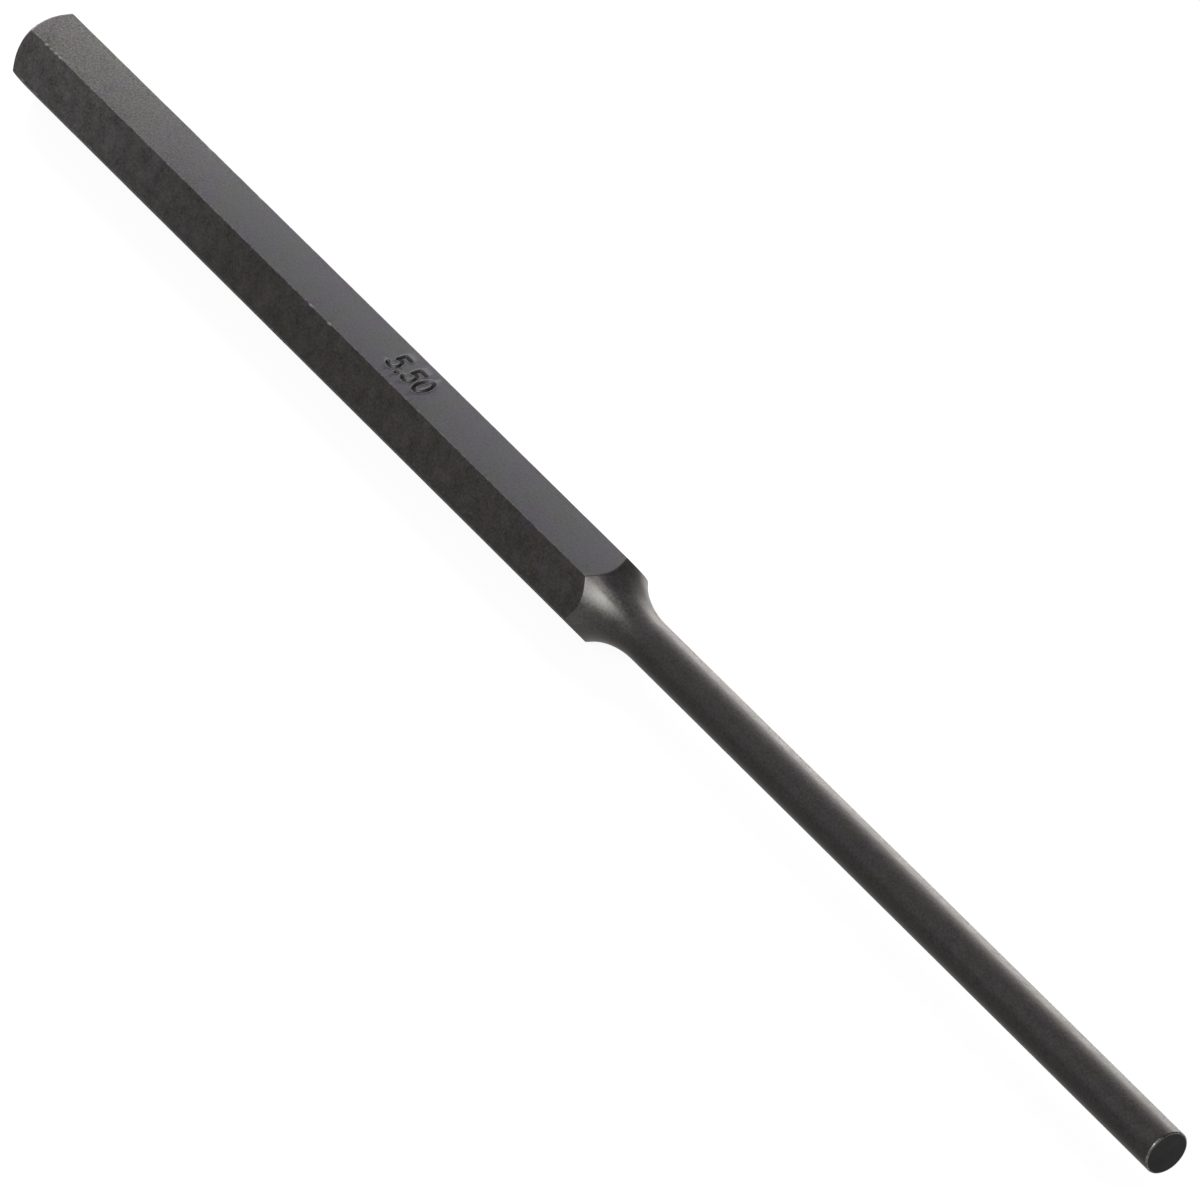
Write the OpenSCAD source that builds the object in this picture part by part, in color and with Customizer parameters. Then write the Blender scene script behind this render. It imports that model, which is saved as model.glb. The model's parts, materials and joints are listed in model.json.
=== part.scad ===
// Pin punch: one bar of hexagonal tool steel, turned down at one end to a long straight pin.
// It lies along X on one of its flats, with the struck head at -X and the working tip at +X.
// The origin is under the middle of its length, on the surface that it lies on.
// The steel is one piece. It is divided square across where its forms meet: the plain shank,
// the hollow shoulder and the straight pin. The faces there touch and nothing moves between them.

/* [Shank] */
// Overall length, from the struck face to the tip
overall_length = 228.6; // [200:0.1:300]
// Size of the hexagon across its flats
across_flats = 10; // [9:0.1:14]
// How far the six long edges are rubbed down from a sharp corner
edge_break = 0.07; // [0.03:0.01:0.2]
// Diameter of the flat face that the hammer strikes
struck_face_d = 8; // [5:0.1:8.8]
// Slope of the head's chamfer, measured from the axis
head_slope = 45; // [30:1:60]

/* [Shoulder] */
// Radius of the hollow that runs from the hexagon down to the pin
shoulder_r = 14; // [8:0.5:20]
// Length of whole hexagon in front of the hollow that goes with the shoulder
shoulder_land = 1; // [0.5:0.1:3]

/* [Pin] */
// Diameter of the straight pin
pin_d = 5.5; // [3:0.1:6.5]
// Length of the straight pin, from the end of the shoulder to the tip
pin_length = 100; // [60:1:120]
// Chamfer round the tip
tip_chamfer = 0.25; // [0.1:0.05:0.6]

/* [Hidden] */

// Places along the punch are measured from the struck face, and radii from its axis
hex_sides = 6;
half_side_angle = 180 / hex_sides;
sharp_corner_r = across_flats / 2 / cos(half_side_angle);
corner_r = sharp_corner_r - edge_break;
struck_face_r = struck_face_d / 2;
head_chamfer_length = (corner_r - struck_face_r) / tan(head_slope);
pin_r = pin_d / 2;
pin_start = overall_length - pin_length;
hollow_angle = acos(1 - (corner_r - pin_r) / shoulder_r);
hollow_start = pin_start - shoulder_r * sin(hollow_angle);
shoulder_start = hollow_start - shoulder_land;
// How far the hexagonal bar that trims the turned shapes runs past them
overrun = 1;
$fn = 96;

// Lays a shape that stands on its struck face along X, on one flat
module lying() {
    translate([-overall_length / 2, 0, across_flats / 2])
        rotate([0, 90, 0])
            children();
}

// Turns a half outline, radius across and place along the punch up, and trims it to the hexagon
module turned_hexagon() {
    intersection() {
        rotate_extrude() children();
        translate([0, 0, -overrun])
            rotate([0, 0, half_side_angle])
                cylinder(r = sharp_corner_r, h = overall_length + 2 * overrun, $fn = hex_sides);
    }
}

module shank() {
    color("dimgray")
        lying()
            turned_hexagon()
                polygon([
                    [0, 0],
                    [struck_face_r, 0],
                    [corner_r, head_chamfer_length],
                    [corner_r, shoulder_start],
                    [0, shoulder_start]
                ]);
}

module shoulder() {
    color("gray")
        lying()
            turned_hexagon()
                difference() {
                    translate([0, shoulder_start])
                        square([corner_r, pin_start - shoulder_start]);
                    translate([pin_r + shoulder_r, pin_start])
                        circle(r = shoulder_r);
                }
}

module pin() {
    color("dimgray")
        lying()
            rotate_extrude()
                polygon([
                    [0, pin_start],
                    [pin_r, pin_start],
                    [pin_r, overall_length - tip_chamfer],
                    [pin_r - tip_chamfer, overall_length],
                    [0, overall_length]
                ]);
}

shank();
shoulder();
pin();
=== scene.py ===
"""Looks of a pin punch: blackened hexagonal bar, turned down to a long straight pin.

The punch is one continuous mesh round the axis of the bar. Rows of points run its whole length and
rings of points go round it, following the edges where the turned shapes cut the hexagon.
Lengths are millimetres up to the last step, where the mesh is written in metres.
Sizes and places of the stage, its lights and the camera are metres.
"""

import json
import math

import bpy
import numpy as np
from mathutils import Matrix, Vector, noise


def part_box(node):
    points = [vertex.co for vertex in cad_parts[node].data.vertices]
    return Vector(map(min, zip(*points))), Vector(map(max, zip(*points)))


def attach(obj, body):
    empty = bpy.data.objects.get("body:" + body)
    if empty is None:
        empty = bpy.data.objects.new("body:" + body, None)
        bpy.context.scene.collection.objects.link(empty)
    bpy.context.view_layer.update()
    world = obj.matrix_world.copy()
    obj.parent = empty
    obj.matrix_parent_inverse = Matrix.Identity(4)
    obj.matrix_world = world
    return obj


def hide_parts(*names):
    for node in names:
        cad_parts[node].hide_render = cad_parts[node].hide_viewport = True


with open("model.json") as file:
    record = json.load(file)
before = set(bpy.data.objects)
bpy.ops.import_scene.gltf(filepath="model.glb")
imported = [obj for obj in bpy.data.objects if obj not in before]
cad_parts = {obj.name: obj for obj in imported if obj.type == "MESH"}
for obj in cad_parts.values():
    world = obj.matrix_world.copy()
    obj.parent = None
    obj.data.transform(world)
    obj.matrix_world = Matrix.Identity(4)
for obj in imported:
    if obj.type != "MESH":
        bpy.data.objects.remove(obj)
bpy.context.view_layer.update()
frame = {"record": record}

MM = 0.001

# Sizes of the solid, from the frame
shank_low, shank_high = (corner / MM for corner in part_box("shank"))
pin_low, pin_high = (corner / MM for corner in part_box("pin"))
mounts = {mount["name"]: mount for mount in frame["record"]["mounts"]}
AXIS_Z = (shank_low.z + shank_high.z) / 2
FLAT_R = (shank_high.z - shank_low.z) / 2
HEAD_X = shank_low.x
PIN_X = pin_low.x
TIP_X = pin_high.x
PIN_R = mounts["pin"]["dims"]["r_mm"]

# Turned shapes, as on the solid
STRUCK_R = 4.0
HEAD_SLOPE = math.radians(45)
HOLLOW_R = 14.0

# Slight crown of the drawn flats, as the slope at their edges
CROWN_TILT = math.radians(2.2)

# Softness of the edges, with a finer chamfer at the tip than the solid has
CORNER_R = 0.06
HEAD_EDGE_SOFT = 0.16
SHOULDER_EDGE_SOFT = 0.08
RIM_SOFT_R = 0.35
TIP_CHAMFER = 0.12
TIP_SOFT_R = 0.14

# How much the edges are rubbed, from 0 to 1, and the depth of a dent that is rubbed as much as an edge
RIM_RUB = 0.78
CHAMFER_RUB = 0.15
SHOULDER_RUB = 0.6
TIP_RUB = 0.85
BRIGHT_DENT = 0.04

# How far rubbing reaches from a long edge, and from a cut edge as shares of its softness
LONG_EDGE_RUB_WIDTH = 0.22
HEAD_RUB_SHARE = 0.9
SHOULDER_RUB_SHARE = 0.8

# Slow unevenness of the long edges: depth and rate of a long and a short wave, and how far in it reaches
LONG_WAVE_DEPTH = 0.012
LONG_WAVE_RATE = 0.35
LONG_WAVE_SEED = (3.1, 0.4)
SHORT_WAVE_DEPTH = 0.008
SHORT_WAVE_RATE = 1.1
SHORT_WAVE_SEED = (7.7, 2.2)
WAVER_WIDTH = 0.3

# Dents that show on the near top edge: place from the struck face, depth and radius
SEEN_DENTS = [
    (4.9, 0.06, 0.2),
    (5.9, 0.03, 0.22),
    (7.0, 0.035, 0.3),
    (7.9, 0.02, 0.25),
    (66.6, 0.03, 0.35),
]

# Finer dents scattered over all the long edges, closer together towards the head
DENT_SEED = 31
DENT_COUNT = 20
DENT_CROWDING = 1.6
DENT_DEPTHS = (0.006, 0.022)
DENT_RADII = (0.25, 0.55)

# Stamped size of the pin, on the top flat
STAMP_START_X = -38.0
STAMP_HEIGHT = 2.5
STAMP_WIDTH = 1.5
STAMP_POINT_WIDTH = 0.22
STAMP_GAP = 0.68
STAMP_STROKE = 0.52
STAMP_DEPTH = 0.2
STAMP_STEEPNESS = 1.15
STAMP_LIP = 0.035
STAMP_LIP_OUT = 0.07
STAMP_LIP_WIDTH = 0.08
STAMP_SLANT = 0.12

# Spacing of the points under the stamp, how far they go on past it and how far its pressing is followed
STAMP_STEP = 0.055
STAMP_END_MARGIN = 0.5
STAMP_SIDE_MARGIN = 0.15
STAMP_REACH = 1.0
STAMP_FLAT_SHARE = 0.9

# Sides and long edges of the hexagon, numbered round the axis from the far edge over the top
SIDES = 6
SIDE_ANGLE = 2 * math.pi / SIDES
TOP_SIDE = 1
NEAR_TOP_EDGE = 2

# Rows across a flat: shares of the way in from its edges, rows in its middle and steps round a corner
EDGE_SHARES = np.array([0.02, 0.05, 0.1, 0.18, 0.34])
MIDDLE_SHARE = 0.5
MIDDLE_ROWS = 3
CORNER_STEPS = 6

# Rings along the punch: spacing on the bar and the pin, steps round a rim and rings in the hollow
BAR_STEP = 0.8
PIN_STEP = 4.0
ROUND_STEPS = 5
HOLLOW_RINGS = 25

# Gap before the rings of the tip, and the length in which the bar's rings turn square
TIP_RING_GAP = 0.1
SETTLE_LENGTH = 5.0

# Rings across a cut edge, as shares of its softness, and the outermost ones at the shoulder and a dent
EDGE_RING_SHARES = (-1.0, -0.6, -0.3, 0.0, 0.3, 0.6, 1.0)
SHOULDER_RING_SHARE = 1.6
DENT_RING_SHARE = 1.5

# Rings on the head's chamfer and on the two end faces, as shares of the way out
CHAMFER_RING_SHARES = (0.3, 0.6, 0.8)
STRUCK_RING_SHARES = (0.15, 0.35, 0.55, 0.75, 0.9)
TIP_RING_SHARES = (0.94, 0.75, 0.5, 0.25)

# A dent deeper than this gets rings of its own, and no two rings are closer than a share of the stamp's
RINGED_DENT_DEPTH = 0.015
CLOSEST_RING_SHARE = 0.6

# The hollow's circle is followed up to this share of its radius
HOLLOW_CIRCLE_SHARE = 0.95


# Shape of the bar

def flat_half_width():
    """From the middle of a flat to where the rounded corner starts."""
    slope = math.tan(SIDE_ANGLE / 2)
    corner_out = CORNER_R * math.cos(CROWN_TILT)
    corner_across = CORNER_R * math.sin(CROWN_TILT)
    return (slope * (FLAT_R - corner_out) + corner_across) / (1 + slope * CROWN_TILT / 2)


FLAT_HALF = flat_half_width()


def across_flat(side):
    """Places of the rows across one flat, from edge to edge, closest where the number is stamped."""
    if side == TOP_SIDE:
        stamped = STAMP_HEIGHT / 2 + STAMP_STROKE / 2 + STAMP_SIDE_MARGIN
        middle = np.linspace(-stamped, stamped, int(math.ceil(2 * stamped / STAMP_STEP)))
        outer = stamped + (FLAT_HALF - stamped) * (1 - EDGE_SHARES[::-1])[1:]
        half = np.append(outer, FLAT_HALF)
        return np.concatenate([-half[::-1], middle, half])
    inner = np.linspace(0, FLAT_HALF * MIDDLE_SHARE, MIDDLE_ROWS + 1)[1:]
    half = np.concatenate([inner, FLAT_HALF * (1 - EDGE_SHARES[::-1]), [FLAT_HALF]])
    return np.concatenate([-half[::-1], [0.0], half])


def bar_rows():
    """Angle, radius and nearness to a long edge of every row of points round the hexagon."""
    crown = CROWN_TILT * FLAT_HALF / 2
    turn = SIDE_ANGLE - 2 * CROWN_TILT
    centre = (FLAT_R - crown - CORNER_R * math.cos(CROWN_TILT)) / math.cos(SIDE_ANGLE / 2)
    y, z, edge = [], [], []
    for side in range(SIDES):
        facing = (side + 0.5) * SIDE_ANGLE
        for across in across_flat(side):
            out = FLAT_R - crown * (across / FLAT_HALF) ** 2
            y.append(out * math.cos(facing) - across * math.sin(facing))
            z.append(out * math.sin(facing) + across * math.cos(facing))
            edge.append(abs(across) - FLAT_HALF)
        corner = facing + SIDE_ANGLE / 2
        for step in range(1, CORNER_STEPS):
            angle = facing + CROWN_TILT + turn * step / CORNER_STEPS
            y.append(centre * math.cos(corner) + CORNER_R * math.cos(angle))
            z.append(centre * math.sin(corner) + CORNER_R * math.sin(angle))
            edge.append(0.0)
    y, z = np.array(y), np.array(z)
    return np.arctan2(z, y), np.hypot(y, z), np.array(edge)


ROW_ANGLE, ROW_R, ROW_EDGE = bar_rows()


def bell(distance, width):
    """One at no distance, falling smoothly away."""
    return np.exp(-(distance / width) ** 2)


def ease(t):
    """Smooth step from 0 to 1."""
    t = np.clip(t, 0, 1)
    return t * t * (3 - 2 * t)


def soft_min(a, b, soft):
    """The smaller of two radii, with the edge where they cross rounded off."""
    blend = np.maximum(soft - np.abs(a - b), 0) / soft
    return np.minimum(a, b) - blend * blend * soft / 4


def cone_r(x):
    """Radius of the head's turned chamfer."""
    return STRUCK_R + (x - HEAD_X) * math.tan(HEAD_SLOPE)


def hollow_r(x):
    """Radius of the turned hollow, and of the pin beyond it."""
    back = np.clip(PIN_X - x, 0, HOLLOW_R * HOLLOW_CIRCLE_SHARE)
    return PIN_R + HOLLOW_R - np.sqrt(HOLLOW_R ** 2 - back ** 2)


# Where the chamfer and the hollow cut each row of the hexagon
HEAD_CUT = HEAD_X + (ROW_R - STRUCK_R) / math.tan(HEAD_SLOPE)
HOLLOW_CUT = PIN_X - np.sqrt(HOLLOW_R ** 2 - (HOLLOW_R - ROW_R + PIN_R) ** 2)
HEAD_END = HEAD_CUT.max()
HOLLOW_START = HOLLOW_CUT.min()


def softened(points, radius):
    """A half outline of (place, radius) points with each inner corner rounded off."""
    points = [np.array(p, float) for p in points]
    out = [points[0]]
    for before, corner, after in zip(points, points[1:], points[2:]):
        into = (corner - before) / np.linalg.norm(corner - before)
        away = (after - corner) / np.linalg.norm(after - corner)
        turn = math.acos(np.clip(into @ away, -1, 1))
        tangent = radius * math.tan(turn / 2)
        start, end = corner - into * tangent, corner + away * tangent
        for step in range(ROUND_STEPS + 1):
            t = step / ROUND_STEPS
            out.append((1 - t) ** 2 * start + 2 * t * (1 - t) * corner + t ** 2 * end)
    out.append(points[-1])
    return out


# Stamped number

def arc_points(centre, radius_x, radius_y, start, end, steps):
    """Points along part of an ellipse, angles in degrees."""
    angles = np.radians(np.linspace(start, end, steps))
    return [(centre[0] + radius_x * math.cos(a), centre[1] + radius_y * math.sin(a)) for a in angles]


def digit_five():
    """Strokes of a five in a box one high and one wide."""
    bowl = arc_points((0.44, 0.33), 0.52, 0.33, start=125, end=-145, steps=14)
    return [[(0.92, 1.0), (0.16, 1.0), bowl[0]], bowl]


def digit_nought():
    """Strokes of a nought in a box one high and one wide."""
    return [arc_points((0.5, 0.5), 0.5, 0.5, start=0, end=360, steps=28)]


def decimal_point():
    """A dot on the base line of a box one high."""
    return [[(0.0, 0.0), (0.0, 0.06)]]


def stamp_strokes():
    """Every straight piece of the stamped number, as end points on the top flat, and the number's end."""
    characters = [
        (digit_five(), STAMP_WIDTH),
        (decimal_point(), STAMP_POINT_WIDTH),
        (digit_five(), STAMP_WIDTH),
        (digit_nought(), STAMP_WIDTH),
    ]
    start = STAMP_START_X
    pieces = []
    for strokes, width in characters:
        for stroke in strokes:
            placed = []
            for along, up in stroke:
                y = (up - 0.5) * STAMP_HEIGHT
                placed.append((start + along * width + y * STAMP_SLANT, y))
            pieces += zip(placed, placed[1:])
        start += width + STAMP_GAP
    return pieces, start - STAMP_GAP


STAMP_PIECES, STAMP_END_X = stamp_strokes()


def stamp_distance(x, y):
    """Distance from each point of the top flat to the middle of the nearest stroke."""
    nearest = np.full(x.shape, np.inf)
    for (x0, y0), (x1, y1) in STAMP_PIECES:
        dx, dy = x1 - x0, y1 - y0
        along = ((x - x0) * dx + (y - y0) * dy) / (dx * dx + dy * dy)
        along = np.clip(along, 0, 1)
        nearest = np.minimum(nearest, np.hypot(x - x0 - along * dx, y - y0 - along * dy))
    return nearest


def stamp_sink(distance):
    """How deep the flat is pressed in, with the metal pushed up beside each stroke."""
    half = STAMP_STROKE / 2
    groove = STAMP_DEPTH * np.clip(STAMP_STEEPNESS * (1 - distance / half), 0, 1)
    lip = STAMP_LIP * bell(distance - half - STAMP_LIP_OUT, STAMP_LIP_WIDTH)
    return groove - lip


def press_stamp(points, groove):
    """Sinks the number into the points of the top flat, and notes how deep each is in a groove."""
    middles = points[:, :, 0].mean(axis=1)
    pressed = (STAMP_START_X - STAMP_REACH < middles) & (middles < STAMP_END_X + STAMP_REACH)
    on_top = np.abs(ROW_ANGLE - math.pi / 2) < math.atan2(FLAT_HALF * STAMP_FLAT_SHARE, FLAT_R)
    rings, rows = np.ix_(pressed, on_top)
    sink = stamp_sink(stamp_distance(points[rings, rows, 0], points[rings, rows, 1]))
    points[rings, rows, 2] -= sink
    groove[rings, rows] = np.clip(sink / STAMP_DEPTH, 0, 1)


# Small dents along the edges

def drawn_between(draw, limits):
    """A random value between two limits."""
    low, high = limits
    return low + (high - low) * draw.random()


def edge_dents():
    """Place along the bar, angle of the long edge, depth and radius of each dent."""
    dents = []
    for from_head, depth, radius in SEEN_DENTS:
        dents.append((HEAD_X + from_head, NEAR_TOP_EDGE * SIDE_ANGLE, depth, radius))
    draw = np.random.default_rng(DENT_SEED)
    for number in range(DENT_COUNT):
        place = HEAD_END + (HOLLOW_START - HEAD_END) * draw.random() ** DENT_CROWDING
        depth = drawn_between(draw, DENT_DEPTHS)
        radius = drawn_between(draw, DENT_RADII)
        dents.append((place, number % SIDES * SIDE_ANGLE, depth, radius))
    return dents


DENTS = edge_dents()


def dent_depth(x, angle, radius):
    """How far the dents move each point of a ring towards the axis."""
    depth = np.zeros_like(x)
    for place, corner, deep, size in DENTS:
        around = (angle - corner + math.pi) % (2 * math.pi) - math.pi
        depth += deep * bell(np.hypot(x - place, around * radius), size)
    return depth


def edge_waver(x):
    """Slow unevenness of the long edges, as a depth."""
    long_wave = noise.noise(Vector((x * LONG_WAVE_RATE, *LONG_WAVE_SEED)))
    short_wave = noise.noise(Vector((x * SHORT_WAVE_RATE, *SHORT_WAVE_SEED)))
    return LONG_WAVE_DEPTH * long_wave + SHORT_WAVE_DEPTH * short_wave


# Rings of points along the punch

DRAWN, TURNED, FACED = range(3)


class Ring:
    """One ring: place and radius of every row, the finish from it onward and how rubbed it is."""

    def __init__(self, x, r, finish, rub):
        rows = len(ROW_ANGLE)
        self.x = np.broadcast_to(np.asarray(x, float), rows).copy()
        self.r = np.broadcast_to(np.asarray(r, float), rows).copy()
        self.rub = np.broadcast_to(np.asarray(rub, float), rows).copy()
        self.finish = finish


def near_long_edge(width):
    """How near each row is to a long edge, from 0 to 1."""
    return bell(np.minimum(ROW_EDGE, 0), width)


def struck_face_rings():
    """The struck face out to the chamfer's first turned ring."""
    first_cut = HEAD_CUT.min()
    outline = softened([(HEAD_X, 0.0), (HEAD_X, STRUCK_R), (first_cut, cone_r(first_cut))], RIM_SOFT_R)
    rings = []
    for share in STRUCK_RING_SHARES:
        rings.append(Ring(HEAD_X, outline[1][1] * share, FACED, 0.0))
    for x, r in outline[1:-1]:
        rings.append(Ring(x, r, FACED, RIM_RUB))
    rings[-1].finish = TURNED
    return rings


def head_chamfer_rings(first_x):
    """The turned chamfer, up to where it meets the hexagon."""
    rings = []
    for share in CHAMFER_RING_SHARES:
        x = first_x + share * (HEAD_CUT - HEAD_EDGE_SOFT - first_x)
        rings.append(Ring(x, cone_r(x), TURNED, CHAMFER_RUB))
    for share in EDGE_RING_SHARES:
        x = HEAD_CUT + share * HEAD_EDGE_SOFT
        r = soft_min(cone_r(x), ROW_R, HEAD_EDGE_SOFT)
        finish = TURNED if share < 0 else DRAWN
        rings.append(Ring(x, r, finish, bell(share, HEAD_RUB_SHARE)))
    return rings


def bar_places():
    """Places of the plain rings along the hexagon, close together where there is detail."""
    first, last = HEAD_END + 2 * HEAD_EDGE_SOFT, HOLLOW_START - 2 * SHOULDER_EDGE_SOFT
    places = list(np.linspace(first, last, int((last - first) / BAR_STEP)))
    stamp_from, stamp_to = STAMP_START_X - STAMP_END_MARGIN, STAMP_END_X + STAMP_END_MARGIN
    places = [x for x in places if not stamp_from < x < stamp_to]
    places += list(np.linspace(stamp_from, stamp_to, int((stamp_to - stamp_from) / STAMP_STEP)))
    dent_shares = (-DENT_RING_SHARE, *EDGE_RING_SHARES, DENT_RING_SHARE)
    for dent_x, _, depth, size in DENTS:
        if depth > RINGED_DENT_DEPTH and not stamp_from < dent_x < stamp_to:
            places += [dent_x + size * share for share in dent_shares]
    places = sorted(x for x in places if first <= x <= last)
    kept = [places[0]]
    for x in places[1:]:
        if x - kept[-1] > STAMP_STEP * CLOSEST_RING_SHARE:
            kept.append(x)
    return kept


def bar_rings():
    """The plain hexagon. Its end rings follow the cut edges, and the rest are square across."""
    rub = near_long_edge(LONG_EDGE_RUB_WIDTH)
    wavering = near_long_edge(WAVER_WIDTH)
    rings = []
    for place in bar_places():
        from_head = 1 - ease((place - HEAD_END) / SETTLE_LENGTH)
        from_hollow = 1 - ease((HOLLOW_START - place) / SETTLE_LENGTH)
        x = place + (HEAD_CUT - HEAD_END) * from_head + (HOLLOW_CUT - HOLLOW_START) * from_hollow
        dent = dent_depth(x, ROW_ANGLE, ROW_R)
        r = ROW_R - wavering * edge_waver(place) - dent
        rings.append(Ring(x, r, DRAWN, rub + dent / BRIGHT_DENT))
    return rings


def hollow_rings():
    """The edge of the hexagon at the shoulder, and the hollow down to the pin."""
    rings = []
    for share in (-SHOULDER_RING_SHARE, *EDGE_RING_SHARES, SHOULDER_RING_SHARE):
        x = HOLLOW_CUT + share * SHOULDER_EDGE_SOFT
        r = soft_min(hollow_r(x), ROW_R, SHOULDER_EDGE_SOFT)
        finish = DRAWN if share < 0 else TURNED
        long_edge_rub = near_long_edge(LONG_EDGE_RUB_WIDTH) if share < 0 else 0.0
        rub = np.maximum(long_edge_rub, bell(share, SHOULDER_RUB_SHARE) * SHOULDER_RUB)
        rings.append(Ring(x, r, finish, rub))
    first = HOLLOW_CUT + SHOULDER_RING_SHARE * SHOULDER_EDGE_SOFT
    for share in np.linspace(0, 1, HOLLOW_RINGS + 1)[1:]:
        x = first + share * (PIN_X - first)
        rings.append(Ring(x, hollow_r(x), TURNED, 0.0))
    return rings


def pin_rings():
    """The straight pin and its chamfered tip."""
    chamfer_start, chamfer_end = (TIP_X - TIP_CHAMFER, PIN_R), (TIP_X, PIN_R - TIP_CHAMFER)
    tip = softened([(PIN_X, PIN_R), chamfer_start, chamfer_end, (TIP_X, 0.0)], TIP_SOFT_R)[1:-1]
    rings = []
    straight = np.linspace(PIN_X, tip[0][0] - TIP_RING_GAP, int((TIP_X - PIN_X) / PIN_STEP))
    for x in straight[1:]:
        rings.append(Ring(x, PIN_R, TURNED, 0.0))
    for x, r in tip:
        rings.append(Ring(x, r, TURNED, TIP_RUB))
    rings[-1].finish = FACED
    for share in TIP_RING_SHARES:
        rings.append(Ring(TIP_X, tip[-1][1] * share, FACED, 0.0))
    return rings


def punch_rings():
    """All the rings, from the struck face to the tip."""
    face = struck_face_rings()
    return face + head_chamfer_rings(face[-1].x[0]) + bar_rings() + hollow_rings() + pin_rings()


# Mesh of the punch

def ring_faces(rings):
    """Faces between the rings and out from the middle of each end, and the finish of every face."""
    rows = len(ROW_ANGLE)
    faces, finishes = [], []
    for i, ring in enumerate(rings[:-1]):
        for j in range(rows):
            k = (j + 1) % rows
            faces.append((i * rows + j, i * rows + k, (i + 1) * rows + k, (i + 1) * rows + j))
            finishes.append(ring.finish)
    head_centre = len(rings) * rows
    tip_centre = head_centre + 1
    last = head_centre - rows
    for j in range(rows):
        k = (j + 1) % rows
        faces.append((head_centre, k, j))
        faces.append((tip_centre, last + j, last + k))
        finishes += [FACED, FACED]
    return faces, finishes


def store_wear(mesh, name, values):
    """Keeps a wear value for every point. The middle of each end has none."""
    attribute = mesh.attributes.new(name, "FLOAT", "POINT")
    attribute.data.foreach_set("value", np.append(values.ravel(), [0.0, 0.0]).astype(np.float32))


def punch_mesh():
    """The whole punch as one closed mesh, with its finishes and wear."""
    rings = punch_rings()
    x = np.array([ring.x for ring in rings])
    r = np.array([ring.r for ring in rings])
    rub = np.array([ring.rub for ring in rings])
    points = np.stack([x, r * np.cos(ROW_ANGLE), AXIS_Z + r * np.sin(ROW_ANGLE)], axis=-1)
    groove = np.zeros_like(r)
    press_stamp(points, groove)
    ends = [(HEAD_X, 0.0, AXIS_Z), (TIP_X, 0.0, AXIS_Z)]
    vertices = np.concatenate([points.reshape(-1, 3), np.array(ends)]) * MM
    faces, finishes = ring_faces(rings)
    mesh = bpy.data.meshes.new("punch")
    mesh.from_pydata(vertices.tolist(), [], faces)
    mesh.polygons.foreach_set("material_index", finishes)
    mesh.polygons.foreach_set("use_smooth", [True] * len(faces))
    store_wear(mesh, "rub", rub)
    store_wear(mesh, "groove", groove)
    mesh.update()
    return mesh


# Shader helpers

def new_group(name, inputs, outputs):
    """An empty shader node group with named sockets, and its input and output nodes."""
    tree = bpy.data.node_groups.new(name, "ShaderNodeTree")
    for socket, kind in inputs:
        tree.interface.new_socket(socket, in_out="INPUT", socket_type="NodeSocket" + kind)
    for socket, kind in outputs:
        tree.interface.new_socket(socket, in_out="OUTPUT", socket_type="NodeSocket" + kind)
    return tree, tree.nodes.new("NodeGroupInput").outputs, tree.nodes.new("NodeGroupOutput").inputs


def feed(tree, socket, value):
    """Links a socket to another, or sets it to a plain value."""
    if isinstance(value, bpy.types.NodeSocket):
        tree.links.new(value, socket)
    else:
        socket.default_value = value


def math_node(tree, operation, a, b):
    """The result of a Math node."""
    node = tree.nodes.new("ShaderNodeMath")
    node.operation = operation
    feed(tree, node.inputs[0], a)
    feed(tree, node.inputs[1], b)
    return node.outputs[0]


def mix_colour(tree, factor, a, b, blend="MIX"):
    """The result of a Mix node. Its colours are inputs 6 and 7 and output 2."""
    node = tree.nodes.new("ShaderNodeMix")
    node.data_type = "RGBA"
    node.blend_type = blend
    feed(tree, node.inputs[0], factor)
    feed(tree, node.inputs[6], a)
    feed(tree, node.inputs[7], b)
    return node.outputs[2]


def noise_node(tree, position, rate, detail, roughness):
    """A noise value near a half, with its features one over rate millimetres wide."""
    node = tree.nodes.new("ShaderNodeTexNoise")
    feed(tree, node.inputs["Vector"], position)
    feed(tree, node.inputs["Scale"], rate)
    feed(tree, node.inputs["Detail"], detail)
    feed(tree, node.inputs["Roughness"], roughness)
    return node.outputs[0]


def between(tree, value, low, high, out_low=0.0, out_high=1.0):
    """A value carried smoothly from one range to another."""
    node = tree.nodes.new("ShaderNodeMapRange")
    node.interpolation_type = "SMOOTHSTEP"
    for socket, number in zip(node.inputs[:5], (value, low, high, out_low, out_high)):
        feed(tree, socket, number)
    return node.outputs[0]


def scaled(tree, vector, factor):
    """A vector or colour times one value."""
    node = tree.nodes.new("ShaderNodeVectorMath")
    node.operation = "SCALE"
    feed(tree, node.inputs[0], vector)
    feed(tree, node.inputs["Scale"], factor)
    return node.outputs[0]


def stretched(tree, position, factors):
    """A position scaled by a different amount along each axis."""
    node = tree.nodes.new("ShaderNodeVectorMath")
    node.operation = "MULTIPLY"
    feed(tree, node.inputs[0], position)
    feed(tree, node.inputs[1], factors)
    return node.outputs[0]


def object_place(tree):
    """Place on the object itself, in metres."""
    return tree.nodes.new("ShaderNodeTexCoord").outputs["Object"]


def split(tree, vector):
    """The three parts of a vector, by name."""
    node = tree.nodes.new("ShaderNodeSeparateXYZ")
    tree.links.new(vector, node.inputs[0])
    return node.outputs


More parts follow.
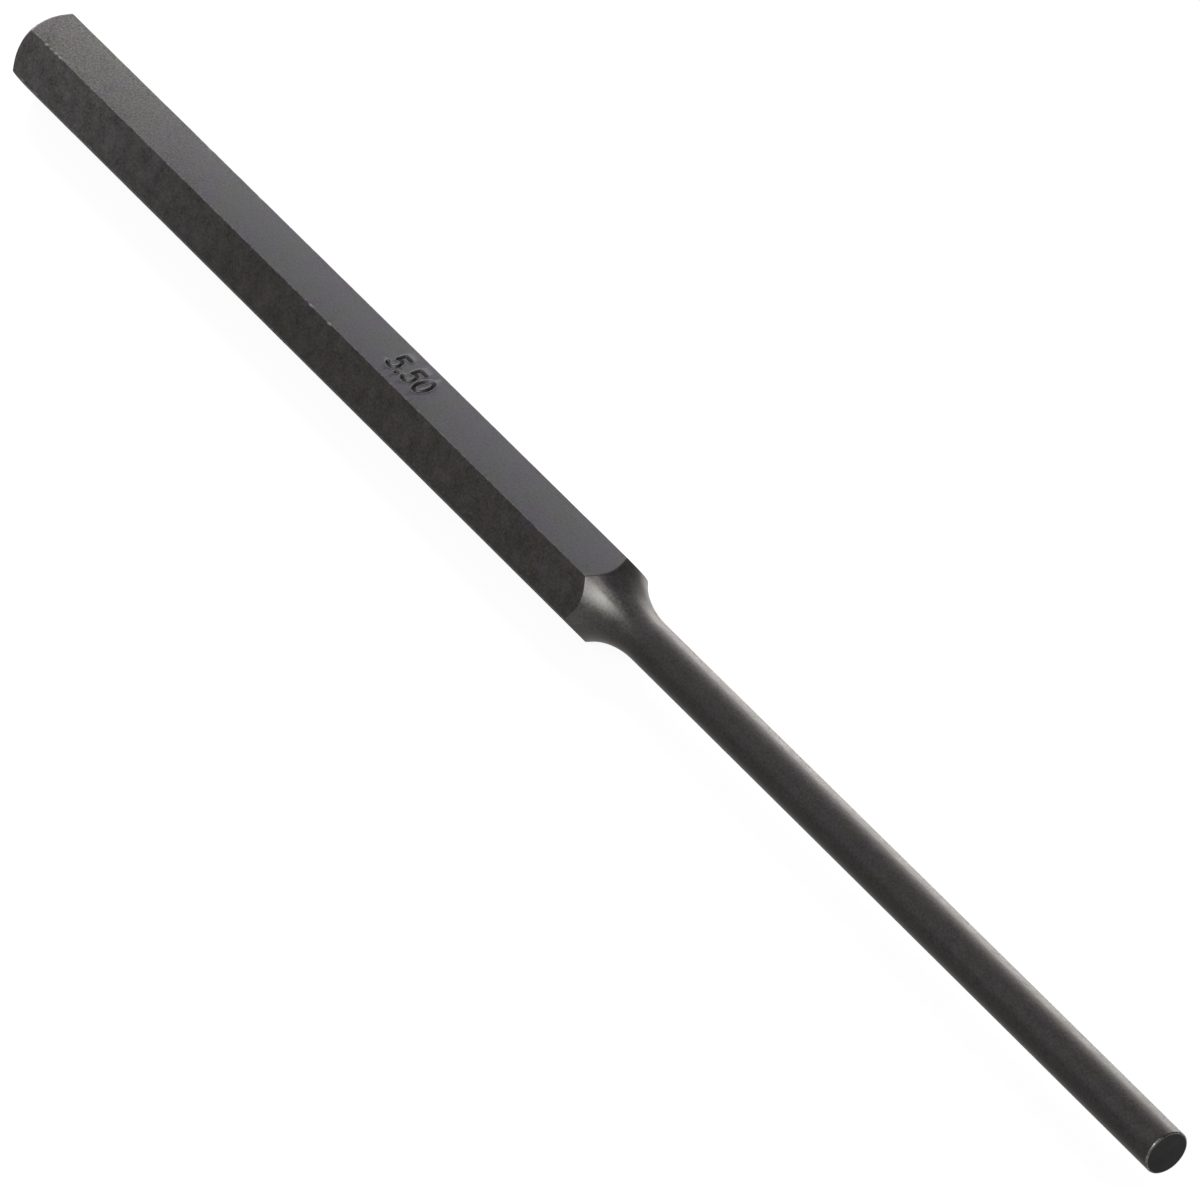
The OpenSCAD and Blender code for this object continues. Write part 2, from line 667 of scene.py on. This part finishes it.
# Colours of the steel and of its blackened skin
BARE_STEEL = (0.62, 0.60, 0.57, 1.0)
# Skin of the top flat: a cooler cast, and painted light that makes it lighter than the sides
TOP_SKIN_CAST_AND_PAINTED_LIGHT = (0.0750, 0.0731, 0.0772, 1.0)
BROWN_SKIN = (0.0630, 0.0578, 0.0550, 1.0)
HANDLED_SKIN = (0.1010, 0.0961, 0.0945, 1.0)
SHOULDER_SKIN = (0.1010, 0.0966, 0.0937, 1.0)
PIN_SKIN = (0.0520, 0.0495, 0.0483, 1.0)
FACE_SKIN = (0.020, 0.020, 0.020, 1.0)
GROOVE_SKIN = (0.033, 0.033, 0.033, 1.0)
VIOLET_CAST = (0.99, 0.94, 1.08, 1.0)
OLIVE_CAST = (0.97, 1.03, 0.94, 1.0)

# Noises of the skin: features per millimetre, detail and roughness, and the value that they swing about
PATCHES = (0.55, 4.0, 0.6)
SPECKLES = (3.4, 2.0, 0.7)
CASTS = (0.28, 2.0, 0.5)
FINE_GRAIN = (7.0, 2.0, 0.6)
COARSE_GRAIN = (2.2, 2.0, 0.5)
BROKEN_EDGE = (1.6, 4.0, 0.7)
TOOL_LINES = (1.0, 2.0, 0.6)
TOOL_LINE_STRETCH = (9.0, 0.25, 0.25)
TOOL_LINE_SHARE = 0.5
NOISE_MIDDLE = 0.5

# Ranges of noise, rubbing and facing over which an effect comes in
VIOLET_RANGE = (0.48, 0.68)
OLIVE_RANGE = (0.5, 0.32)
RUBBED_RANGE = (0.55, 1.15)
TONE_RANGE = (0.2, 0.8)
TOP_RANGE = (0.6, 0.95)

# Stray specks: cells per millimetre, size in the cell and how bright they are
SPECK_CELLS = 0.27
SPECK_RANGE = (0.02, 0.075)
SPECK_STRENGTH = 0.13

# Mottle and speckle of the drawn flats, and what is added where the head is handled
SIDE_MOTTLE = 1.0
TOP_MOTTLE = 0.4
HANDLED_MOTTLE = 0.4
SIDE_SPECKLE = 1.5
TOP_SPECKLE = 1.0
HANDLED_SIDE_SPECKLE = 0.4
HANDLED_TOP_SPECKLE = 2.0
GROOVE_DARKNESS = 0.75

# Lengths of the handled head, the chipped tip and the change of skin round the end of the hollow
HANDLED_LENGTH = 55.0
CHIPPED_TIP_LENGTH = 40.0
SKIN_CHANGE_BEFORE_PIN = 7.0
SKIN_CHANGE_PAST_PIN = 3.0

# Finish of each skin: how metallic, tint of its shine at a low angle, roughness and height of its grain
SKIN_METAL = 0.95
FACE_METAL = 0.8
DRAWN_SHINE = (0.85, 0.84, 0.83, 1.0)
TURNED_SHINE = (1.0, 0.975, 0.945, 1.0)
DRAWN_ROUGHNESS = (0.43, 0.55)
TURNED_ROUGHNESS = (0.35, 0.45)
FACED_ROUGHNESS = (0.5, 0.65)
DRAWN_GRAIN_HEIGHT = 0.011
TURNED_GRAIN_HEIGHT = 0.008
FACED_GRAIN_HEIGHT = 0.02


# Shared effects

def oxide_tone_group():
    """Tone of the blackened skin: mottled and speckled, with a faint violet and olive cast."""
    inputs = [
        ("Position", "Vector"),
        ("Skin", "Color"),
        ("Mottle", "Float"),
        ("Speckle", "Float"),
        ("Cast", "Float"),
    ]
    tree, given, made = new_group("oxide_tone", inputs, [("Color", "Color"), ("Tone", "Float")])
    position = given["Position"]
    patches = math_node(tree, "SUBTRACT", noise_node(tree, position, *PATCHES), NOISE_MIDDLE)
    speckles = math_node(tree, "SUBTRACT", noise_node(tree, position, *SPECKLES), NOISE_MIDDLE)
    patch_swing = math_node(tree, "MULTIPLY", patches, given["Mottle"])
    speckle_swing = math_node(tree, "MULTIPLY", speckles, given["Speckle"])
    swing = math_node(tree, "ADD", patch_swing, speckle_swing)
    colour = scaled(tree, given["Skin"], math_node(tree, "ADD", swing, 1.0))
    hue = noise_node(tree, position, *CASTS)
    violet = math_node(tree, "MULTIPLY", between(tree, hue, *VIOLET_RANGE), given["Cast"])
    olive = math_node(tree, "MULTIPLY", between(tree, hue, *OLIVE_RANGE), given["Cast"])
    colour = mix_colour(tree, violet, colour, VIOLET_CAST, "MULTIPLY")
    colour = mix_colour(tree, olive, colour, OLIVE_CAST, "MULTIPLY")
    tone = math_node(tree, "ADD", math_node(tree, "ADD", patches, speckles), NOISE_MIDDLE)
    feed(tree, made["Color"], colour)
    feed(tree, made["Tone"], tone)
    return tree


def surface_grain_group():
    """Height of the fine grain of the skin, for bump."""
    inputs = [("Position", "Vector"), ("Fine", "Float"), ("Coarse", "Float")]
    tree, given, made = new_group("surface_grain", inputs, [("Height", "Float")])
    fine = math_node(tree, "MULTIPLY", noise_node(tree, given["Position"], *FINE_GRAIN), given["Fine"])
    coarse_noise = noise_node(tree, given["Position"], *COARSE_GRAIN)
    coarse = math_node(tree, "MULTIPLY", coarse_noise, given["Coarse"])
    feed(tree, made["Height"], math_node(tree, "ADD", fine, coarse))
    return tree


def rubbed_edge_group():
    """Where the skin is rubbed through to bare steel along an edge."""
    inputs = [("Position", "Vector"), ("Rub", "Float"), ("Reach", "Float")]
    tree, given, made = new_group("rubbed_edge", inputs, [("Bare", "Float")])
    broken = noise_node(tree, given["Position"], *BROKEN_EDGE)
    reached = math_node(tree, "MULTIPLY", given["Rub"], math_node(tree, "ADD", broken, given["Reach"]))
    feed(tree, made["Bare"], between(tree, reached, *RUBBED_RANGE))
    return tree


def stray_specks_group():
    """Tiny chips in the skin, scattered thinly."""
    tree, given, made = new_group("stray_specks", [("Position", "Vector")], [("Bare", "Float")])
    cells = tree.nodes.new("ShaderNodeTexVoronoi")
    cells.inputs["Scale"].default_value = SPECK_CELLS
    feed(tree, cells.inputs["Vector"], given["Position"])
    feed(tree, made["Bare"], between(tree, cells.outputs["Distance"], *SPECK_RANGE, 1.0, 0.0))
    return tree


OXIDE_TONE = oxide_tone_group()
SURFACE_GRAIN = surface_grain_group()
RUBBED_EDGE = rubbed_edge_group()
STRAY_SPECKS = stray_specks_group()


def place_group(tree, group, **values):
    """Puts a shared effect into a material, with its inputs given by name in small letters."""
    node = tree.nodes.new("ShaderNodeGroup")
    node.node_tree = group
    for name, value in values.items():
        feed(tree, node.inputs[name.capitalize()], value)
    return node.outputs


# Materials of the punch

def wear_value(tree, name):
    """A value stored on the mesh."""
    node = tree.nodes.new("ShaderNodeAttribute")
    node.attribute_name = name
    return node.outputs["Fac"]


def position_mm(tree):
    """Place on the punch in millimetres."""
    return scaled(tree, object_place(tree), 1 / MM)


def facing_up(tree):
    """One on the top flat, nought on the other flats."""
    normal = tree.nodes.new("ShaderNodeTexCoord").outputs["Normal"]
    return between(tree, split(tree, normal)["Z"], *TOP_RANGE)


def side_to_top(tree, up, on_sides, on_top):
    """A value that is different on the top flat and on the other flats."""
    return between(tree, up, 0.0, 1.0, on_sides, on_top)


def bare_steel(tree, position, colour, chipped, reach, strength):
    """A skin colour with bare steel showing at rubbed edges and in stray specks."""
    rub = wear_value(tree, "rub")
    edge = place_group(tree, RUBBED_EDGE, position=position, rub=rub, reach=reach)["Bare"]
    edge = math_node(tree, "MULTIPLY", edge, strength)
    speck = place_group(tree, STRAY_SPECKS, position=position)["Bare"]
    speck_strength = math_node(tree, "MULTIPLY", chipped, SPECK_STRENGTH)
    speck = math_node(tree, "MULTIPLY", speck, speck_strength)
    return mix_colour(tree, math_node(tree, "MAXIMUM", edge, speck), colour, BARE_STEEL)


def new_material(name):
    """A material with only its Principled shader."""
    material = bpy.data.materials.new(name)
    material.use_nodes = True
    shader = material.node_tree.nodes["Principled BSDF"]
    return material, material.node_tree, shader


def add_roughness(tree, shader, tone, limits):
    """Roughness between two limits that follows the tone of the skin."""
    feed(tree, shader.inputs["Roughness"], between(tree, tone, *TONE_RANGE, *limits))


def add_bump(tree, shader, height, distance):
    """Bump from a height that is scaled to a distance in millimetres."""
    node = tree.nodes.new("ShaderNodeBump")
    node.inputs["Distance"].default_value = distance * MM
    feed(tree, node.inputs["Height"], height)
    tree.links.new(node.outputs[0], shader.inputs["Normal"])


def drawn_black_material():
    """Blackened skin of the drawn flats, paler and coarser where the head is held and struck. The top flat's
    skin is bluer, and painted lighter than the sides as painted light.
    """
    material, tree, shader = new_material("drawn_black")
    position = position_mm(tree)
    along = split(tree, position)["X"]
    near_head = between(tree, along, HEAD_X, HEAD_X + HANDLED_LENGTH, 1.0, 0.0)
    up = facing_up(tree)
    # Painted light on the top flat: its skin is lighter than the sides', as well as bluer
    skin = mix_colour(tree, up, BROWN_SKIN, TOP_SKIN_CAST_AND_PAINTED_LIGHT)
    skin = mix_colour(tree, near_head, skin, HANDLED_SKIN)
    handled_mottle = math_node(tree, "MULTIPLY", near_head, HANDLED_MOTTLE)
    mottle = math_node(tree, "ADD", handled_mottle, side_to_top(tree, up, SIDE_MOTTLE, TOP_MOTTLE))
    handled_speckle = side_to_top(tree, up, HANDLED_SIDE_SPECKLE, HANDLED_TOP_SPECKLE)
    handled_speckle = math_node(tree, "MULTIPLY", near_head, handled_speckle)
    speckle = math_node(tree, "ADD", handled_speckle, side_to_top(tree, up, SIDE_SPECKLE, TOP_SPECKLE))
    tone = place_group(
        tree, OXIDE_TONE, position=position, skin=skin, mottle=mottle, speckle=speckle, cast=0.6
    )
    sunk = math_node(tree, "MULTIPLY", wear_value(tree, "groove"), GROOVE_DARKNESS)
    colour = mix_colour(tree, sunk, tone["Color"], GROOVE_SKIN)
    colour = bare_steel(tree, position, colour, chipped=near_head, reach=0.15, strength=0.3)
    feed(tree, shader.inputs["Base Color"], colour)
    shader.inputs["Metallic"].default_value = SKIN_METAL
    shader.inputs["Specular Tint"].default_value = DRAWN_SHINE
    add_roughness(tree, shader, tone["Tone"], DRAWN_ROUGHNESS)
    grain = place_group(tree, SURFACE_GRAIN, position=position, fine=0.5, coarse=0.8)["Height"]
    add_bump(tree, shader, grain, DRAWN_GRAIN_HEIGHT)
    return material


def turned_black_material():
    """Blackened skin of the turned shoulder and pin, with fine tool lines round it."""
    material, tree, shader = new_material("turned_black")
    position = position_mm(tree)
    along = split(tree, position)["X"]
    on_pin = between(tree, along, PIN_X - SKIN_CHANGE_BEFORE_PIN, PIN_X + SKIN_CHANGE_PAST_PIN)
    skin = mix_colour(tree, on_pin, SHOULDER_SKIN, PIN_SKIN)
    tone = place_group(
        tree, OXIDE_TONE, position=position, skin=skin, mottle=0.3, speckle=1.2, cast=0.5
    )
    near_tip = between(tree, along, TIP_X - CHIPPED_TIP_LENGTH, TIP_X)
    colour = bare_steel(tree, position, tone["Color"], chipped=near_tip, reach=0.35, strength=0.8)
    feed(tree, shader.inputs["Base Color"], colour)
    shader.inputs["Metallic"].default_value = SKIN_METAL
    shader.inputs["Specular Tint"].default_value = TURNED_SHINE
    add_roughness(tree, shader, tone["Tone"], TURNED_ROUGHNESS)
    lines = noise_node(tree, stretched(tree, position, TOOL_LINE_STRETCH), *TOOL_LINES)
    lines = math_node(tree, "MULTIPLY", lines, TOOL_LINE_SHARE)
    grain = place_group(tree, SURFACE_GRAIN, position=position, fine=0.3, coarse=0.6)["Height"]
    add_bump(tree, shader, math_node(tree, "ADD", grain, lines), TURNED_GRAIN_HEIGHT)
    return material


def faced_black_material():
    """Dull dark skin of the two end faces."""
    material, tree, shader = new_material("faced_black")
    position = position_mm(tree)
    tone = place_group(
        tree, OXIDE_TONE, position=position, skin=FACE_SKIN, mottle=0.4, speckle=0.6, cast=0.8
    )
    colour = bare_steel(tree, position, tone["Color"], chipped=0.0, reach=0.4, strength=0.8)
    feed(tree, shader.inputs["Base Color"], colour)
    shader.inputs["Metallic"].default_value = FACE_METAL
    add_roughness(tree, shader, tone["Tone"], FACED_ROUGHNESS)
    grain = place_group(tree, SURFACE_GRAIN, position=position, fine=0.5, coarse=1.0)["Height"]
    add_bump(tree, shader, grain, FACED_GRAIN_HEIGHT)
    return material


def build_punch():
    """The finished punch, standing for all three forms of the solid."""
    punch = bpy.data.objects.new("punch", punch_mesh())
    bpy.context.scene.collection.objects.link(punch)
    for material in (drawn_black_material(), turned_black_material(), faced_black_material()):
        punch.data.materials.append(material)
    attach(punch, "root")
    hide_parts("shank", "shoulder", "pin")


# Floor: half its side, its paper and how plain a white it shows
FLOOR_HALF = 3.0
PAPER_ROUGHNESS = 0.25
PAPER = (0.85, 0.85, 0.85, 1.0)
WHITE = (1.0, 1.0, 1.0, 1.0)
BLACK = (0.0, 0.0, 0.0, 1.0)
FLOOR_WHITE_SHARE = 0.92

# Painted shade of the punch on the floor, seen only in reflections: how much of that white reflections see
# in front of the punch and behind its bar, and where it changes
FLOOR_FRONT_PAINTED_SHADE = 0.35
FLOOR_BAR_PAINTED_SHADE = 0.1
FRONT_TO_BACK = (-0.01, 0.01)
BAR_TO_PIN = (-0.004, 0.010)


def white_paper_material():
    """Satin white floor. Seen and reflected, it is mostly plain white, so that its shadows are faint.

    Reflections show it dimmer in front of the punch and behind its hexagon: a painted shade of the punch on
    the floor, not a cast one.
    """
    material, tree, shader = new_material("white_paper")
    path = tree.nodes.new("ShaderNodeLightPath").outputs
    place = split(tree, object_place(tree))
    # Painted shade on the floor for reflections only: dimmer in front of the punch and behind its hexagon
    behind = between(tree, place["X"], *BAR_TO_PIN, FLOOR_BAR_PAINTED_SHADE, 1.0)
    painted_shade_in_reflections = between(tree, place["Y"], *FRONT_TO_BACK, FLOOR_FRONT_PAINTED_SHADE, behind)
    straight = math_node(tree, "MAXIMUM", path["Is Camera Ray"], path["Is Transmission Ray"])
    reflected = path["Is Glossy Ray"]
    seen = math_node(tree, "MAXIMUM", straight, reflected)
    shown = math_node(tree, "MAXIMUM", straight, math_node(tree, "MULTIPLY", reflected, painted_shade_in_reflections))
    darkened = math_node(tree, "MULTIPLY", seen, FLOOR_WHITE_SHARE)
    glow = math_node(tree, "MULTIPLY", shown, FLOOR_WHITE_SHARE)
    feed(tree, shader.inputs["Base Color"], mix_colour(tree, darkened, PAPER, BLACK))
    feed(tree, shader.inputs["Emission Strength"], glow)
    shader.inputs["Emission Color"].default_value = WHITE
    shader.inputs["Roughness"].default_value = PAPER_ROUGHNESS
    return material


def build_floor():
    """A plain pale floor under the punch."""
    low, high = -FLOOR_HALF, FLOOR_HALF
    corners = [(low, low, 0), (high, low, 0), (high, high, 0), (low, high, 0)]
    mesh = bpy.data.meshes.new("floor")
    mesh.from_pydata(corners, [], [(0, 1, 2, 3)])
    floor = bpy.data.objects.new("floor", mesh)
    bpy.context.scene.collection.objects.link(floor)
    mesh.materials.append(white_paper_material())


# Floor light beside the pin: its ends along the bar in millimetres, place, width, spread and power
FLOOR_LIGHT_START_X = PIN_X - 34.0
FLOOR_LIGHT_END_X = TIP_X - 9.0
FLOOR_LIGHT_Y = 0.020
FLOOR_LIGHT_Z = 0.045
FLOOR_LIGHT_WIDTH = 0.012
FLOOR_LIGHT_SPREAD = math.radians(25)
FLOOR_LIGHT_POWER = 0.10

# Plain light of the room
ROOM_GREY = (0.157, 0.157, 0.157, 1.0)


def direction(azimuth, elevation):
    """Unit vector, with azimuth in degrees from +X towards +Y."""
    azimuth, elevation = math.radians(azimuth), math.radians(elevation)
    flat = math.cos(elevation)
    return Vector((flat * math.cos(azimuth), flat * math.sin(azimuth), math.sin(elevation)))


def flat_lamp(name, width, height, power):
    """A flat lamp that faces down, at the origin."""
    light = bpy.data.lights.new(name, "AREA")
    light.shape = "RECTANGLE"
    light.size = width
    light.size_y = height
    light.energy = power
    lamp = bpy.data.objects.new(name, light)
    bpy.context.scene.collection.objects.link(lamp)
    return lamp


def soft_light(name, azimuth, elevation, distance, width, height, radiance):
    """A flat soft light facing the punch, set by how bright it looks from there."""
    lamp = flat_lamp(name, width, height, math.pi * radiance * width * height)
    lamp.location = direction(azimuth, elevation) * distance
    lamp.rotation_euler = lamp.location.to_track_quat("Z", "Y").to_euler()


def floor_light():
    """A gridded light close over the floor beside the pin, which lights only the floor there."""
    length = (FLOOR_LIGHT_END_X - FLOOR_LIGHT_START_X) * MM
    middle = (FLOOR_LIGHT_END_X + FLOOR_LIGHT_START_X) / 2 * MM
    lamp = flat_lamp("floor_light", length, FLOOR_LIGHT_WIDTH, FLOOR_LIGHT_POWER)
    lamp.data.spread = FLOOR_LIGHT_SPREAD
    lamp.location = (middle, FLOOR_LIGHT_Y, FLOOR_LIGHT_Z)


def build_light():
    """A soft key with a weak skirt under it, a panel behind with a bright strip under it, and weak fills."""
    soft_light("key", -65, 48, distance=1.0, width=0.62, height=0.58, radiance=7.7)
    soft_light("key_skirt", -65, 22, distance=1.0, width=0.62, height=0.32, radiance=1.5)
    soft_light("back_panel", 144, 22.5, distance=1.1, width=1.24, height=0.44, radiance=3.3)
    soft_light("back_strip", 144, 5.9, distance=1.1, width=1.24, height=0.22, radiance=8.8)
    soft_light("back_glow", 150, 54, distance=1.1, width=1.2, height=0.6, radiance=0.68)
    soft_light("front_fill", 221, 32, distance=1.2, width=1.1, height=1.25, radiance=0.56)
    floor_light()
    world = bpy.data.worlds.new("room")
    world.use_nodes = True
    world.node_tree.nodes["Background"].inputs["Color"].default_value = ROOM_GREY
    bpy.context.scene.world = world


def build_camera():
    """The photograph's view: a long lens from the tip's side, looking down."""
    azimuth, elevation = -33.771, 41.298
    distance = 1.43472
    lens, sensor = 379.56, 36.0
    aim_right, aim_up = 2.446 * MM, -2.332 * MM
    back = direction(azimuth, elevation)
    right = Vector((0, 0, 1)).cross(back).normalized()
    up = back.cross(right)
    place = Vector((0, 0, AXIS_Z * MM)) + right * aim_right + up * aim_up + back * distance
    camera = bpy.data.objects.new("camera", bpy.data.cameras.new("camera"))
    camera.matrix_world = Matrix.Translation(place) @ Matrix((right, up, back)).transposed().to_4x4()
    camera.data.lens = lens
    camera.data.sensor_width = sensor
    bpy.context.scene.collection.objects.link(camera)
    bpy.context.scene.camera = camera


build_punch()
build_floor()
build_light()
build_camera()
bpy.context.scene.view_settings.view_transform = "Standard"
